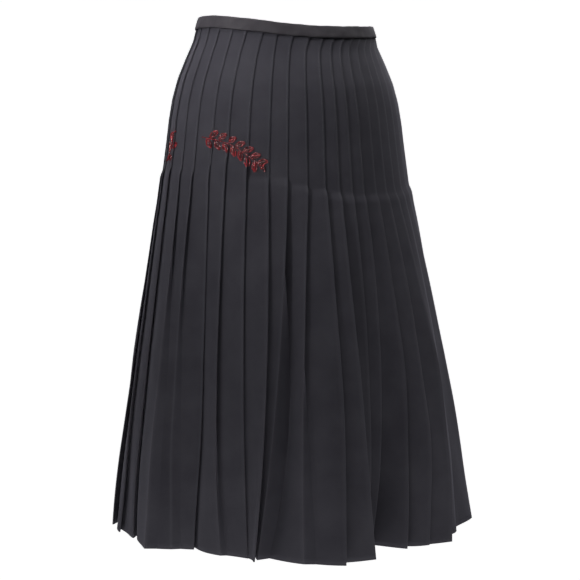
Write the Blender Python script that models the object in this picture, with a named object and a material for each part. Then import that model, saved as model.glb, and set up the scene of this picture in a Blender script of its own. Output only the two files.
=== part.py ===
"""Knife-pleated midi skirt, as it is worn, in metres with +Z up.

The origin is the middle of the waist at the top of the waistband.  -Y is the
front and +X is the wearer's left.  A turn is an angle round the waist in
degrees, counted from the wearer's right side: 90 is the centre front, 180
the left side, 270 the centre back.

The skirt is one long strip of cloth laid in knife pleats.  At each height the
strip is a zigzag round an oval: a leg runs from a tuck (inner fold) under its
neighbour and out to a crest (outer fold), and a return runs back from the
crest to the next tuck.  The pleats lie flat down to the hip, where the
stitching ends, and from there their folds open as they fall to the hem.
"""

from math import cos, pi, radians, sin

import bmesh
import bpy
import numpy as np

MM = 0.001

# Cloth
CLOTH_WALL = 1.0 * MM
FLAT_LAYER = 1.3 * MM           # pitch of the layers where pleats lie flat
HEM_LAYER = 2.0 * MM            # the layers lie looser at the hem
HEM_FOLD_WIDTH = 2.6 * MM       # distance between a fold's two sides at the hem
SEAM_GAP = 0.3 * MM
SEAM_SHARE = 0.12               # how far along its leg a side seam is hidden

# Waistband
BAND_HEIGHT = 14.0 * MM
BAND_WALL = 3.2 * MM
BAND_PROUD = 0.6 * MM
BAND_STEPS = 96
HIP_LIFT = 13.2 * MM            # the waist line sits higher over the wearer's right hip
HIP_SPREAD = 45.0               # degrees
WAIST_DROP = 5.5 * MM           # and lower than the origin elsewhere

# Heights
RELEASE_Z = -0.200
MIDDLE_Z = -0.420
HEM_Z = -0.651
CLOTH_TOP_Z = -(BAND_HEIGHT + SEAM_GAP)
ROWS_Z = (CLOTH_TOP_Z, -0.036, -0.062, -0.092, -0.126, -0.160, -0.184, -0.206,
          -0.238, -0.290, -0.350, -0.420, -0.495, -0.572, HEM_Z)

PLEATS = 38
FRONT_PLEATS = 20
PUFF = 2.4 * MM                 # how far a pleat swells just under its stitching
PUFF_LENGTH = 0.012
TAPER_LENGTH = 0.016            # the pleats lean out to the hip just below the band
FLAT_OVERLAP = 0.70             # share of the pleat spacing that lies double
TUCK_LAYERS = 1.4               # layers from the line through the crests to a tuck
LEAN_LAYERS = 2.0               # further layers where a pleat lies fully double
LEG_LAYERS = 0.3                # layers that a leg stands above its own tuck's line
LEG_SWELL = 0.7                 # share of the swelling that a leg's middle takes
TAPER_SHARE = 0.85              # share of the lean made just below the band
FOLD_LEAST = 0.3 * MM           # width of a fold that has opened out
FOLD_SLOPE = 0.6                # and how its width grows with its height

# The oval that the crests follow: height, half width and half depth in mm.
SECTIONS = (
    # z, half_width, half_depth
    (8, 121.0, 88.0),
    (0, 124.0, 90.5),
    (-30, 132.0, 98.0),
    (-50, 141.0, 107.0),
    (-75, 152.0, 116.0),
    (-100, 160.0, 121.0),
    (-127, 165.0, 125.0),
    (-152, 168.0, 128.0),
    (-178, 171.5, 131.5),
    (-204, 175.0, 135.0),
    (-230, 178.5, 140.0),
    (-255, 182.5, 146.5),
    (-294, 188.0, 156.0),
    (-360, 198.0, 172.0),
    (-425, 208.0, 187.0),
    (-491, 217.0, 200.0),
    (-557, 226.0, 212.0),
    (-623, 234.5, 222.0),
    (-660, 239.0, 227.5),
)

# One row for each fold that hangs unevenly.  Turns are in degrees.  In mm, a
# rise is how far a crest stands outside the oval; a lap is how far its tuck
# lies back under it, less than 0 where the fold has swung out ahead of it; an
# opening is how much deeper that tuck hangs than in a closed pleat; a bulge is
# how far the leg before the crest stands off its line.
FOLDS = (
    # fold, waist, release, release_z,
    #   mid_crest, mid_rise, mid_lap, mid_open, mid_bulge,
    #   hem_crest, hem_rise, hem_lap, hem_open, hem_bulge
    (0, 1.0, 1.0, -186, 0.8, -3, -6, 0, 0, 1.8, -3, -11, 0, 0),
    (1, 9.1, 8.0, -186, 5.0, -15, -4, 1, 0, 8.5, -24, -8, 1, 0),
    (2, 17.6, 16.0, -178, 14.0, -30, 9, 4, 0, 14.6, -41, 6, 8, 0),
    (3, 26.0, 23.2, -164, 22.4, -22, 8, 2, 0, 27.5, -26, -8, 0, 4),
    (4, 35.5, 32.2, -170, 33.8, -14, 15, 0, 0, 37.3, -22, 14, 0, 0),
    (5, 44.1, 41.7, -190, 43.0, -1, 13, 0, 0, 40.3, -5, 5, 13, -4),
    (6, 55.2, 50.4, -190, 47.2, -7, -14, 18, 0, 40.9, -16, -14, 9, 0),
    (7, 68.0, 60.5, -198, 56.0, 2, -2, 4, 1, 55.0, 7, -14, -2, 1),
    (8, 80.0, 70.6, -202, 68.8, 12, 17, 0, 2, 66.0, 27, 14, 0, 4),
    (9, 91.0, 79.3, -207, 77.2, 5, 15, 10, 0, 76.7, 13, 5, 24, 0),
    (10, 101.5, 87.6, -210, 85.0, -12, 8, 6, -4, 81.5, -36, 8, 22, -14),
    (11, 111.5, 96.0, -212, 92.5, -14, 13, 2, 0, 85.0, -43, -11, 20, 0),
    (12, 121.5, 105.5, -212, 102.5, -6, 16, 0, 0, 93.4, -12, 5, 14, -2),
    (13, 131.0, 114.5, -212, 112.5, -2, 17, 0, 0, 102.5, -5, 16, 2, 0),
    (14, 140.0, 123.0, -212, 122.5, 4, 17, 2, 0, 110.5, 9, 14, 12, 0),
    (15, 148.5, 131.5, -210, 134.0, -3, 17, 0, 0, 128.0, -9, 17, 4, 0),
    (16, 157.0, 139.5, -208, 145.0, 3, 17, 2, 0, 146.0, 8, 16, 6, 0),
    (34, 328.5, 327.5, -192, 322.0, -3, 17, 0, 0, 313.0, -8, 17, 2, 0),
    (35, 336.5, 335.5, -190, 331.0, -4, 16, 0, 0, 324.0, -9, 16, 2, 0),
    (36, 344.5, 344.0, -188, 340.5, -6, 15, 1, 0, 336.0, -15, 14, 2, 0),
    (37, 352.5, 352.5, -186, 349.5, -9, 13, 4, 0, 346.5, -23, 9, 5, 0),
)
FOLD_COLUMNS = ("fold", "waist", "release", "release_z",
                "mid_crest", "mid_rise", "mid_lap", "mid_open", "mid_bulge",
                "hem_crest", "hem_rise", "hem_lap", "hem_open", "hem_bulge")

# Concealed zip, behind the left side seam at a turn of 180
ZIP_SLIT = 2.4 * MM
TAPE_WIDTH = 11.0 * MM
TAPE_WALL = 1.0 * MM
TAPE_LENGTH = 0.190
TAPE_ROWS = 16
TAPE_EASE = 1.4 * MM            # it hangs a little free of the pleats' straight legs
SLIDER_PLATE = 3.0 * MM
SLIDER_WIDTH = 5.4 * MM
SLIDER_HEIGHT = 8.0 * MM
SLIDER_GAP = 1.3 * MM            # behind the tapes, which lean inwards below it
PULL_PIVOT_OUT = 3.4 * MM       # pivot's distance outside the waistband
PULL_PIVOT_Z = -9.0 * MM
LUG_RADIUS = 2.0 * MM
LUG_HOLE_RADIUS = 1.15 * MM
LUG_WALL = 1.5 * MM
NECK_HALF = 1.3 * MM
PULL_WIDTH = 5.2 * MM
PULL_LENGTH = 17.0 * MM
PULL_WALL = 1.1 * MM
PULL_TILT = radians(9.0)        # it leans on the cloth, which slopes outwards


# ---------------------------------------------------------------- the pleats

def fold_table():
    """Every fold's values by column name: the uneven ones as listed, the
    others spread evenly between them with a slow swing in how they hang."""
    table = {name: np.full(PLEATS, np.nan) for name in FOLD_COLUMNS}
    for row in FOLDS:
        for name, value in zip(FOLD_COLUMNS, row):
            table[name][row[0]] = value
    number = np.arange(PLEATS)
    free = np.isnan(table["waist"])
    for name in FOLD_COLUMNS[1:]:
        table[name] = np.interp(number, number[~free], table[name][~free])
    swing = np.sin(2.4 * number)[free]
    sway = np.sin(1.7 * number + 0.8)[free]
    table["release_z"][free] += 5.0 * swing
    table["mid_crest"][free] += 0.6 * sway
    table["mid_rise"][free] += 2.0 * swing
    table["mid_open"][free] += 2.0 + 2.0 * sway
    table["hem_crest"][free] += 1.2 * sway
    table["hem_rise"][free] += 6.0 * swing
    table["hem_lap"][free] += 2.0 * swing
    table["hem_open"][free] += 3.0 + 4.0 * sway
    return table


TABLE = fold_table()


def oval(z):
    """Half width and half depth of the crest line at height z."""
    heights = [-row[0] * MM for row in SECTIONS]
    return (np.interp(-z, heights, [row[1] * MM for row in SECTIONS]),
            np.interp(-z, heights, [row[2] * MM for row in SECTIONS]))


def place(turn, rise, z):
    """Point at a turn, a rise outside the oval; rise is measured radially."""
    half_width, half_depth = oval(z)
    angle = np.radians(np.asarray(turn) + 180.0)
    radius = 1.0 / np.hypot(np.cos(angle) / half_width, np.sin(angle) / half_depth)
    return np.stack([(radius + rise) * np.cos(angle), (radius + rise) * np.sin(angle)], -1)


def through(share, top, middle, bottom):
    """Smooth curve through three values at 0, the middle height and 1."""
    mid_share = (RELEASE_Z - MIDDLE_Z) / (RELEASE_Z - HEM_Z)
    return (top * (share - mid_share) * (share - 1.0) / mid_share
            + middle * share * (share - 1.0) / (mid_share * (mid_share - 1.0))
            + bottom * share * (share - mid_share) / (1.0 - mid_share))


def layer_at(share):
    """Pitch of the cloth's layers, from tight at the release to loose at the hem."""
    return FLAT_LAYER + (HEM_LAYER - FLAT_LAYER) * share


def hung(level, z, share):
    """Turn and rise of every crest, tuck and leg middle at the middle height or
    at the hem, where the pleats hang free.  A closed pleat's tuck lies its lap
    back under its crest and two layers below the line through the crests, and
    the leg passes over it.  A fold that has swung out lies ahead of its crest,
    and its leg is straight."""
    crest, rise, lap, opening, bulge = (
        TABLE[level + "_" + name] * size for name, size in
        (("crest", 1.0), ("rise", MM), ("lap", MM), ("open", MM), ("bulge", MM)))
    half_width, half_depth = oval(z)
    angle = np.radians(crest + 180.0)
    a_metre = np.degrees(np.hypot(np.cos(angle) / half_width, np.sin(angle) / half_depth))
    tuck = crest - lap * a_metre
    line_turn = np.concatenate([crest[-1:] - 360.0, crest, crest[:1] + 360.0])
    line_rise = np.interp(tuck, line_turn, np.concatenate([rise[-1:], rise, rise[:1]]))
    spacing = np.diff(np.append(crest, crest[0] + 360.0)) / a_metre
    closed = lap > 0.0
    layer = layer_at(share)
    lean = layer * LEAN_LAYERS * np.minimum(lap / spacing, 1.0)
    tuck_rise = line_rise - np.where(closed, TUCK_LAYERS * layer + lean, 0.0) - opening
    last_tuck = np.roll(tuck, 1)
    last_tuck[0] -= 360.0
    middle = np.where(closed, tuck, (last_tuck + crest) / 2.0)
    straight = (np.roll(tuck_rise, 1) + rise) / 2.0
    middle_rise = np.where(closed, line_rise + LEG_LAYERS * layer - lean, straight) + bulge
    return crest, rise, tuck, tuck_rise, middle, middle_rise


def folds_at(z):
    """Turn and rise of every crest, tuck and leg middle at height z, and the
    width of the folds.  Where the pleats lie flat, the layers lean like tiles:
    each tuck lies low enough for two layers to pass between it and the face
    above, and a leg's middle is where it passes over its own next tuck."""
    near_waist = (TAPER_SHARE * np.exp((z - CLOTH_TOP_Z) / TAPER_LENGTH)
                  + (1.0 - TAPER_SHARE) * (1.0 - z / RELEASE_Z))
    crest = TABLE["release"] + (TABLE["waist"] - TABLE["release"]) * max(near_waist, 0.0)
    spacing = np.diff(np.append(crest, crest[0] + 360.0))
    overlap = FLAT_OVERLAP * np.minimum(spacing, np.roll(spacing, 1))
    tuck = crest - overlap
    crest_rise = np.full(PLEATS, -(CLOTH_WALL + FLAT_LAYER) / 2.0)
    tuck_rise = crest_rise - FLAT_LAYER * (TUCK_LAYERS + LEAN_LAYERS * overlap / spacing)
    leg_rise = tuck_rise + (TUCK_LAYERS + LEG_LAYERS) * FLAT_LAYER
    flat = crest, crest_rise, tuck, tuck_rise, tuck, leg_rise
    share = max(RELEASE_Z - z, 0.0) / (RELEASE_Z - HEM_Z)
    mid = hung("mid", MIDDLE_Z, (RELEASE_Z - MIDDLE_Z) / (RELEASE_Z - HEM_Z))
    hem = hung("hem", HEM_Z, 1.0)
    crest, crest_rise, tuck, tuck_rise, middle, middle_rise = (
        through(share, *values) for values in zip(flat, mid, hem))
    width = FLAT_LAYER + (HEM_FOLD_WIDTH - FLAT_LAYER) * share
    swell = PUFF * np.clip((TABLE["release_z"] * MM - z) / PUFF_LENGTH, 0.0, 1.0)
    middle_rise = middle_rise + LEG_SWELL * np.minimum(swell, np.roll(swell, 1))
    return crest, crest_rise + swell, tuck, tuck_rise, middle, middle_rise, width


def unit(vectors):
    return vectors / np.linalg.norm(vectors, axis=-1, keepdims=True)


def fold_sides(fold, before, after, width):
    """The two sides of each fold, where the cloth arrives at its bend and where
    it leaves.  A fold that has nearly opened out is as narrow as it is low."""
    chord = after - before
    along = np.sum((fold - before) * chord, axis=1) / np.sum(chord * chord, axis=1)
    foot = before + chord * np.clip(along, 0.0, 1.0)[:, None]
    height = np.linalg.norm(fold - foot, axis=1)
    breadth = np.minimum(width, FOLD_LEAST + FOLD_SLOPE * height)
    across = unit(unit(fold - before) + unit(after - fold)) * breadth[:, None] / 2.0
    return fold - across, fold + across


def strip_at(z):
    """Middle line of the cloth at height z, five points a pleat: leg start,
    leg middle, leg end, return start, return end."""
    crest, crest_rise, tuck, tuck_rise, middle, middle_rise, width = folds_at(z)
    crest_point = place(crest, crest_rise, z)
    tuck_point = place(tuck, tuck_rise, z)
    middle_point = place(middle, middle_rise, z)
    leg_end, return_start = fold_sides(crest_point, middle_point, tuck_point, width)
    next_middle = np.roll(middle_point, -1, axis=0)
    return_end, next_leg_start = fold_sides(tuck_point, crest_point, next_middle, width)
    leg_start = np.roll(next_leg_start, 1, axis=0)
    return np.stack([leg_start, middle_point, leg_end, return_start, return_end], 1)


def panel_line(z, first, count):
    """Middle line of a panel of so many pleats, from side seam to side seam."""
    strip = strip_at(z)
    order = (first + np.arange(count)) % PLEATS
    after = (first + count) % PLEATS

    def seam(number, side):
        start, middle = strip[number, 0], strip[number, 1]
        along = (middle - start) / np.linalg.norm(middle - start)
        return start + (middle - start) * SEAM_SHARE + along * side * SEAM_GAP / 2.0

    inner = strip[order].reshape(-1, 2)[1:]
    return np.vstack([seam(first, 1.0), inner, strip[after, 0], seam(after, -1.0)])


def wall_of(line):
    """Outer and inner points of the wall, half its thickness each way."""
    step = np.diff(line, axis=0)
    step /= np.linalg.norm(step, axis=1, keepdims=True)
    normal = np.stack([step[:, 1], -step[:, 0]], -1)
    before = np.vstack([normal[:1], normal])
    after = np.vstack([normal, normal[-1:]])
    mean = before + after
    mean /= np.maximum(np.sum(mean * before, axis=1, keepdims=True), 0.5)
    return line + mean * CLOTH_WALL / 2.0, line - mean * CLOTH_WALL / 2.0


def lifted(points, z):
    """Heights of points on row z: the waist line's lift fades to the hem."""
    from_hip = np.degrees(np.arctan2(-points[:, 1], -points[:, 0]))
    lift = HIP_LIFT * np.exp(-(from_hip / HIP_SPREAD) ** 2) - WAIST_DROP
    return z + lift * (z - HEM_Z) / -HEM_Z


# ------------------------------------------------------------------ meshes

def material(name, colour, roughness, metallic=0.0):
    made = bpy.data.materials.new(name)
    made.use_nodes = True
    shader = made.node_tree.nodes["Principled BSDF"]
    shader.inputs["Base Color"].default_value = (*colour, 1.0)
    shader.inputs["Roughness"].default_value = roughness
    shader.inputs["Metallic"].default_value = metallic
    return made


def add_object(name, mesh, finish, collection):
    made = bpy.data.objects.new(name, mesh)
    made.data.materials.append(finish)
    collection.objects.link(made)
    return made


def add_mesh(name, points, faces, finish, collection):
    mesh = bpy.data.meshes.new(name)
    mesh.from_pydata([tuple(point) for point in points], [], faces)
    mesh.validate()
    work = bmesh.new()
    work.from_mesh(mesh)
    bmesh.ops.triangulate(work, faces=work.faces[:])
    bmesh.ops.recalc_face_normals(work, faces=work.faces[:])
    work.to_mesh(mesh)
    work.free()
    return add_object(name, mesh, finish, collection)


def wall_faces(rows, columns):
    """Faces of a strip wall: two grids joined along their four edges."""
    def at(side, row, column):
        return (side * rows + row) * columns + column
    faces = []
    for row in range(rows - 1):
        for column in range(columns - 1):
            for side in (0, 1):
                quad = [at(side, row, column), at(side, row, column + 1),
                        at(side, row + 1, column + 1), at(side, row + 1, column)]
                faces.append(quad if side == 0 else quad[::-1])
    for column in range(columns - 1):
        for row, turned in ((0, False), (rows - 1, True)):
            quad = [at(0, row, column), at(1, row, column),
                    at(1, row, column + 1), at(0, row, column + 1)]
            faces.append(quad[::-1] if turned else quad)
    for row in range(rows - 1):
        for column, turned in ((0, False), (columns - 1, True)):
            quad = [at(0, row, column), at(0, row + 1, column),
                    at(1, row + 1, column), at(1, row, column)]
            faces.append(quad[::-1] if turned else quad)
    return faces


def make_panel(name, first, count, finish, collection):
    outer, inner = [], []
    for z in ROWS_Z:
        for points, side in zip(wall_of(panel_line(z, first, count)), (outer, inner)):
            side.append(np.column_stack([points, lifted(points, z)]))
    columns = len(outer[0])
    points = np.vstack(outer + inner)
    return add_mesh(name, points, wall_faces(len(ROWS_Z), columns), finish, collection)


def make_waistband(finish, collection):
    """A straight strip bent round the waist, its ends facing at the zip."""
    half_slit = np.degrees(ZIP_SLIT / 2.0 / oval(0.0)[0])
    turns = np.linspace(180.0 + half_slit, 540.0 - half_slit, BAND_STEPS + 1)
    grids = []
    for rise in (BAND_PROUD, BAND_PROUD - BAND_WALL):
        for z in (0.0, -BAND_HEIGHT):
            points = place(turns, rise, z)
            grids.append(np.column_stack([points, lifted(points, z)]))
    return add_mesh("waistband", np.vstack(grids), wall_faces(2, BAND_STEPS + 1), finish, collection)


# ---------------------------------------------------------------- the zip

def extruded(name, outline, holes, wall, finish, collection):
    """A flat outline with holes, drawn in X and Y and thick along Z."""
    curve = bpy.data.curves.new(name, "CURVE")
    curve.dimensions = "2D"
    curve.fill_mode = "BOTH"
    curve.extrude = wall / 2.0
    for ring in (outline, *holes):
        spline = curve.splines.new("POLY")
        spline.points.add(len(ring) - 1)
        for point, (across, up) in zip(spline.points, ring):
            point.co = (across, up, 0.0, 1.0)
        spline.use_cyclic_u = True
    flat = bpy.data.objects.new(name + "_outline", curve)
    collection.objects.link(flat)
    mesh = bpy.data.meshes.new_from_object(flat.evaluated_get(bpy.context.evaluated_depsgraph_get()))
    bpy.data.objects.remove(flat)
    work = bmesh.new()
    work.from_mesh(mesh)
    bmesh.ops.remove_doubles(work, verts=work.verts[:], dist=1e-6)
    bmesh.ops.recalc_face_normals(work, faces=work.faces[:])
    work.to_mesh(mesh)
    work.free()
    return add_object(name, mesh, finish, collection)


def arc(centre, radius, start, end, steps):
    return [(centre[0] + radius * cos(radians(start + (end - start) * step / steps)),
             centre[1] + radius * sin(radians(start + (end - start) * step / steps)))
            for step in range(steps + 1)]


def behind_band():
    """Rise of the middle of the zip's tapes where they pass the waistband."""
    return BAND_PROUD - BAND_WALL - SEAM_GAP - TAPE_WALL / 2.0


def make_tape(name, side, finish, collection):
    """One of the zip's two tapes: a flat strip down the inside of the pleats."""
    grids = ([], [])
    for z in np.linspace(-1.0 * MM, -TAPE_LENGTH, TAPE_ROWS):
        rise = behind_band()
        if z < -0.8 * BAND_HEIGHT:
            deepest = folds_at(min(z, CLOTH_TOP_Z))[3].min()
            rise = deepest - (FLAT_LAYER + CLOTH_WALL + TAPE_WALL) / 2.0 - TAPE_EASE
        degrees_per_metre = np.degrees(1.0 / oval(z)[0])
        across = np.array([ZIP_SLIT / 2.0, ZIP_SLIT / 2.0 + TAPE_WIDTH])[::side]
        turns = 180.0 + side * across * degrees_per_metre
        for grid, offset in zip(grids, (TAPE_WALL / 2.0, -TAPE_WALL / 2.0)):
            points = place(turns, rise + offset, z)
            grid.append(np.column_stack([points, lifted(points, z)]))
    return add_mesh(name, np.vstack(grids[0] + grids[1]), wall_faces(TAPE_ROWS, 2), finish, collection)


def make_slider(finish, collection, pivot):
    """Slider plate behind the tapes, with a neck between their edges and
    through the slit to a round lug, whose hole carries the pull."""
    plate_front = oval(0.0)[0] + behind_band() - TAPE_WALL / 2.0 - SLIDER_GAP
    neck_end = plate_front - SLIDER_PLATE / 2.0 - pivot[0]
    outline = ([(neck_end, NECK_HALF), (neck_end, -NECK_HALF)]
               + arc((0.0, 0.0), LUG_RADIUS, -140.0, 140.0, 14))
    hole = arc((0.0, 0.0), LUG_HOLE_RADIUS, 360.0, 30.0, 11)
    made = extruded("zip_slider", outline, [hole], LUG_WALL, finish, collection)
    made.rotation_euler = (pi / 2.0, 0.0, 0.0)
    made.location = pivot
    bpy.ops.mesh.primitive_cube_add(size=1.0)
    plate = bpy.context.active_object
    plate.name = "slider_plate"
    plate.scale = (SLIDER_PLATE, SLIDER_WIDTH, SLIDER_HEIGHT)
    plate.location = (plate_front - SLIDER_PLATE / 2.0, 0.0, pivot[2] - 1.5 * MM)
    plate.hide_render = True
    plate.display_type = "WIRE"
    join = made.modifiers.new("plate", "BOOLEAN")
    join.operation = "UNION"
    join.object = plate
    return made


def make_pull(finish, collection):
    """Long drop-shaped pull whose top bar passes through the lug's hole."""
    bar = PULL_WALL / 2.0
    window_half = LUG_WALL / 2.0 + 0.5 * MM
    window_low = -(LUG_RADIUS + 0.7 * MM)
    shoulder = window_low - 1.2 * MM
    neck_half = window_half + 0.9 * MM
    drop = PULL_WIDTH / 2.0
    outline = ([(neck_half, bar), (-neck_half, bar), (-neck_half, shoulder)]
               + arc((0.0, drop - PULL_LENGTH), drop, 180.0, 360.0, 12)
               + [(neck_half, shoulder)])
    window = [(-window_half, -bar), (window_half, -bar), (window_half, window_low),
              (-window_half, window_low)]
    made = extruded("zip_pull", outline, [window], PULL_WALL, finish, collection)
    made.rotation_euler = (pi / 2.0, 0.0, pi / 2.0)
    return made


def main():
    for old in list(bpy.data.objects):
        bpy.data.objects.remove(old, do_unlink=True)
    skirt = bpy.data.collections.new("flared_skirt")
    bpy.context.scene.collection.children.link(skirt)
    cloth = material("navy wool", (0.018, 0.017, 0.024), 0.85)
    band_cloth = material("navy satin band", (0.022, 0.022, 0.030), 0.5)
    metal = material("black zip metal", (0.03, 0.03, 0.035), 0.35, 1.0)
    make_waistband(band_cloth, skirt)
    make_panel("front_panel", 0, FRONT_PLEATS, cloth, skirt)
    make_panel("back_panel", FRONT_PLEATS, PLEATS - FRONT_PLEATS, cloth, skirt)
    make_tape("zip_tape_front", -1, band_cloth, skirt)
    make_tape("zip_tape_back", 1, band_cloth, skirt)
    pivot = (oval(0.0)[0] + BAND_PROUD + PULL_PIVOT_OUT, 0.0, PULL_PIVOT_Z)
    make_slider(metal, skirt, pivot)
    pull = make_pull(metal, skirt)
    hinge = bpy.data.objects.new("pull_pivot", None)
    hinge.location = pivot
    hinge.rotation_euler = (0.0, -PULL_TILT, 0.0)
    skirt.objects.link(hinge)
    pull.parent = hinge


main()
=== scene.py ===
import math

import bmesh
import bpy
import numpy as np
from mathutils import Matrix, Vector


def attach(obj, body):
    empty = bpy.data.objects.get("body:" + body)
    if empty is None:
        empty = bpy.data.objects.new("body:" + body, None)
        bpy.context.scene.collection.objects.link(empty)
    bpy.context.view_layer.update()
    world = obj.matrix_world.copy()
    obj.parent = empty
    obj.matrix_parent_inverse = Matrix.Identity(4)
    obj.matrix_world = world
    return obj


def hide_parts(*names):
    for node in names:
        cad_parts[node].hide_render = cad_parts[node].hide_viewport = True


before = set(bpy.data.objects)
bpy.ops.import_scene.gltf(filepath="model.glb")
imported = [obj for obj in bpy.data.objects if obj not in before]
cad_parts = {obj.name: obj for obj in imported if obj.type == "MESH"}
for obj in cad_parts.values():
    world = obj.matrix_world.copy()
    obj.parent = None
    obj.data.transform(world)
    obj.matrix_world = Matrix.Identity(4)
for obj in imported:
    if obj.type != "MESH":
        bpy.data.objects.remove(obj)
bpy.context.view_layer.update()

# ------------------------------------------------------------------ pleated wool panels
# The skirt's body: one strip of dark navy wool in knife pleats that all turn the same
# way round, cut as a front and a back panel and joined under a pleat at each side.  The
# pleats are stitched flat from the waist to the hip and fall open from there to the hem.

MM = 0.001
WOOL_THICK = 0.36 * MM
FLAT_LAYER = 0.50 * MM          # pitch of the layers where the pleats are stitched flat
HEM_LAYER = 0.9 * MM            # the layers lie looser at the hem
HEM_FOLD_WIDTH = 1.6 * MM       # width of a fold's soft bend at the hem
HIP_LIFT = 13.2 * MM            # the waist line sits higher over the right hip
HIP_SPREAD = 45.0               # degrees
WAIST_DROP = 5.5 * MM           # and lower than the origin elsewhere
CLOTH_TOP = -13.7 * MM          # tucked just behind the waistband's lower edge
RELEASE_Z = -0.200
MIDDLE_Z = -0.420
HEM_Z = -0.651
PLEATS = 38
FRONT_PLEATS = 20
SEAM_SHARE = 0.12               # how far along a leg the side seams are hidden
SEAM_GAP = 0.3 * MM
CAD_WALL = 1.0 * MM             # of the solids
PUFF = 2.4 * MM                 # how far a pleat swells just under its stitching
PUFF_LENGTH = 11.0 * MM
FRONT_PUFF = 1.1                # further share of the swelling at its fullest fold,
FRONT_PUFF_FOLD = 6.0           # which is this one,
FRONT_PUFF_SPREAD = 3.0         # and how many folds to each side it fades over
FLAT_OVERLAP = 0.70             # share of the spacing that lies double
TUCK_LAYERS = 1.4               # layers from the line through the crests to a tuck
LEAN_LAYERS = 2.0               # further layers where a pleat lies fully double
LEG_LAYERS = 0.3                # layers that a leg stands above its own tuck's line
LEG_SWELL = 0.7                 # share of the swelling that a leg's middle takes
TAPER_LENGTH = 16.0 * MM        # the pleats lean out to the hip just below the band
TAPER_SHARE = 0.85              # share of the lean made there
FOLD_LEAST = 0.3 * MM           # width of a fold that has opened out
FOLD_SLOPE = 0.6                # and how its width grows with its height
LEG_ROUND = 0.8                 # share of a leg's shorter part that its bend takes
HANDLE_SHARE = 0.62             # of a bend's curve, by the distance of its ends
RIPPLE = 1.5 * MM               # height of the slow ripples at the hem
CLOTH_PER_PLEAT = 76.0 * MM     # from crest to crest, for the weave's place

# The oval that the fold edges follow: height, half width and half depth, in mm.
OVAL = np.array([
    (8, 121.0, 88.0), (0, 124.0, 90.5), (-30, 132.0, 98.0), (-50, 141.0, 107.0),
    (-75, 152.0, 116.0), (-100, 160.0, 121.0), (-127, 165.0, 125.0), (-152, 168.0, 128.0),
    (-178, 171.5, 131.5), (-204, 175.0, 135.0), (-230, 178.5, 140.0), (-255, 182.5, 146.5),
    (-294, 188.0, 156.0), (-360, 198.0, 172.0), (-425, 208.0, 187.0), (-491, 217.0, 200.0),
    (-557, 226.0, 212.0), (-623, 234.5, 222.0), (-660, 239.0, 227.5),
]) * MM

# One row for each fold that hangs unevenly.  Turns are degrees round the waist from the
# wearer's right side.  In mm: a rise is how far the crest stands outside the oval; a lap
# is how far its tuck lies back under it, less than 0 where the fold has swung out ahead;
# an opening is how much deeper the tuck hangs than in a closed pleat; a bulge is how far
# the leg before the crest stands off its line.  The folds between are spread evenly.
COLUMNS = ("fold", "waist", "release", "release_z",
           "mid_crest", "mid_rise", "mid_lap", "mid_open", "mid_bulge",
           "hem_crest", "hem_rise", "hem_lap", "hem_open", "hem_bulge")
FOLDS = (
    (0, 1.0, 1.0, -186, 0.8, -3, -6, 0, 0, 1.8, -3, -11, 0, 0),
    (1, 9.1, 8.0, -186, 5.0, -15, -4, 1, 0, 8.5, -24, -8, 1, 0),
    (2, 17.6, 16.0, -178, 14.0, -30, 9, 4, 0, 14.6, -41, 6, 8, 0),
    (3, 26.0, 23.2, -164, 22.4, -22, 8, 2, 0, 27.5, -26, -8, 0, 4),
    (4, 35.5, 32.2, -170, 33.8, -14, 15, 0, 0, 37.3, -22, 14, 0, 0),
    (5, 44.1, 41.7, -190, 43.0, -1, 13, 0, 0, 40.3, -5, 5, 13, -4),
    (6, 55.2, 50.4, -190, 47.2, -7, -14, 18, 0, 40.9, -16, -14, 9, 0),
    (7, 68.0, 60.5, -198, 56.0, 2, -2, 4, 1, 55.0, 7, -14, -2, 1),
    (8, 80.0, 70.6, -202, 68.8, 12, 17, 0, 2, 66.0, 27, 14, 0, 4),
    (9, 91.0, 79.3, -207, 77.2, 5, 15, 10, 0, 76.7, 13, 5, 24, 0),
    (10, 101.5, 87.6, -210, 85.0, -12, 8, 6, -4, 81.5, -36, 8, 22, -14),
    (11, 111.5, 96.0, -212, 92.5, -14, 13, 2, 0, 85.0, -43, -11, 20, 0),
    (12, 121.5, 105.5, -212, 102.5, -6, 16, 0, 0, 93.4, -12, 5, 14, -2),
    (13, 131.0, 114.5, -212, 112.5, -2, 17, 0, 0, 102.5, -5, 16, 2, 0),
    (14, 140.0, 123.0, -212, 122.5, 4, 17, 2, 0, 110.5, 9, 14, 12, 0),
    (15, 148.5, 131.5, -210, 134.0, -3, 17, 0, 0, 128.0, -9, 17, 4, 0),
    (16, 157.0, 139.5, -208, 145.0, 3, 17, 2, 0, 146.0, 8, 16, 6, 0),
    (34, 328.5, 327.5, -192, 322.0, -3, 17, 0, 0, 313.0, -8, 17, 2, 0),
    (35, 336.5, 335.5, -190, 331.0, -4, 16, 0, 0, 324.0, -9, 16, 2, 0),
    (36, 344.5, 344.0, -188, 340.5, -6, 15, 1, 0, 336.0, -15, 14, 2, 0),
    (37, 352.5, 352.5, -186, 349.5, -9, 13, 4, 0, 346.5, -23, 9, 5, 0),
)


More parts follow.
